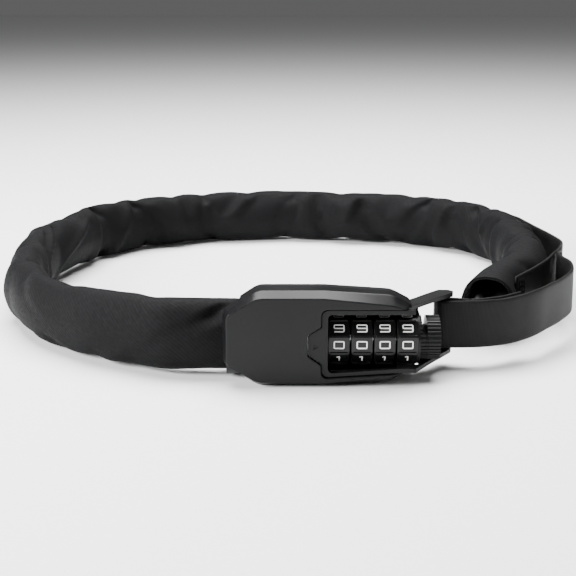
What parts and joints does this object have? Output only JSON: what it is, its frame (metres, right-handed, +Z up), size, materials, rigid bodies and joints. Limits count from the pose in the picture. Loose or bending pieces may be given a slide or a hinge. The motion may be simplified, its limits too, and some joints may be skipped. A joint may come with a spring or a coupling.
{
  "type": "wearable chain lock",
  "caption": "Sleeved chain closed in a ring by a combination lock body, with a hook-and-loop waist strap through a buckle frame.",
  "frame": {"origin": "middle of the underside of the lock standing on edge as a closed ring", "axes": "+Z up, +Y from the flat front of the lock body towards the back of the ring, +X along the dial axis from the chain end towards the knob"},
  "size_m": [0.3128, 0.3003, 0.044],
  "materials": {
    "cover_black": "satin black coating",
    "housing_black": "satin black coating",
    "frame_black": "matte dark coating",
    "dial_black": "matte, pale printed digits",
    "knob_black": "satin, ribbed",
    "bolt_steel": "turned",
    "screw_steel": "blackened",
    "spring_steel": "bright",
    "inner_brass": "machined",
    "block_zinc": "cast zinc",
    "chain_steel": "zinc plated hardened steel",
    "sleeve_fabric": "dense woven polyester",
    "hem_tape": "folded tape",
    "clamp_plastic": "moulded",
    "webbing": "ribbed nylon webbing",
    "loop_pile": "loop pile",
    "hook_tape": "hook tape",
    "thread": "dense zigzag stitching"
  },
  "bodies": {
    "lock_body": {"front_cover": "cover_black", "back_housing": "housing_black", "housing_screws": "screw_steel", "buckle_frame": "frame_black", "end_plate": "frame_black", "thrust_ring": "spring_steel", "detent_spring": "spring_steel", "latch_block": "block_zinc", "bolt_spring": "spring_steel", "anchor_pin": "bolt_steel", "chain_anchor": "block_zinc", "chain_end_link": "chain_steel", "chain_links_odd": "chain_steel", "chain_links_even": "chain_steel", "sleeve": "sleeve_fabric", "sleeve_hem": "hem_tape", "sleeve_clamp": "clamp_plastic", "sleeve_band": "webbing", "webbing_strap": "webbing", "loop_patch": "loop_pile", "bar_tacks": "thread"},
    "dial_1": {"dial_1": "dial_black", "code_wheel_1": "inner_brass"},
    "dial_2": {"dial_2": "dial_black", "code_wheel_2": "inner_brass"},
    "dial_3": {"dial_3": "dial_black", "code_wheel_3": "inner_brass"},
    "dial_4": {"dial_4": "dial_black", "code_wheel_4": "inner_brass"},
    "pull_knob": {"locking_bolt": "bolt_steel", "pull_knob": "knob_black", "knob_screw": "screw_steel"},
    "reset_collar": {"reset_collar": "knob_black"},
    "strap_tail": {"strap_tail": "webbing", "hook_patch": "hook_tape"}
  },
  "joints": [
    {"name": "dial_1_turn", "type": "hinge", "parent": "lock_body", "child": "dial_1", "pos_m": [0.02097, -0.13425, 0.019], "axis": [1, 0, 0], "continuous": true},
    {"name": "dial_2_turn", "type": "hinge", "parent": "lock_body", "child": "dial_2", "pos_m": [0.03117, -0.13425, 0.019], "axis": [1, 0, 0], "continuous": true},
    {"name": "dial_3_turn", "type": "hinge", "parent": "lock_body", "child": "dial_3", "pos_m": [0.04137, -0.13425, 0.019], "axis": [1, 0, 0], "continuous": true},
    {"name": "dial_4_turn", "type": "hinge", "parent": "lock_body", "child": "dial_4", "pos_m": [0.05157, -0.13425, 0.019], "axis": [1, 0, 0], "continuous": true},
    {"name": "knob_pull", "type": "slide", "parent": "lock_body", "child": "pull_knob", "axis": [1, 0, 0], "range_m": [0, 0.0102]},
    {"name": "reset_turn", "type": "hinge", "parent": "lock_body", "child": "reset_collar", "pos_m": [0.05887, -0.13425, 0.019], "axis": [1, 0, 0], "range_deg": [0, 90]},
    {"name": "strap_tail_peel", "type": "hinge", "parent": "lock_body", "child": "strap_tail", "pos_m": [0.09007, -0.11685, 0.0212], "axis": [0, 0, 1], "range_deg": [0, 80]}
  ]
}
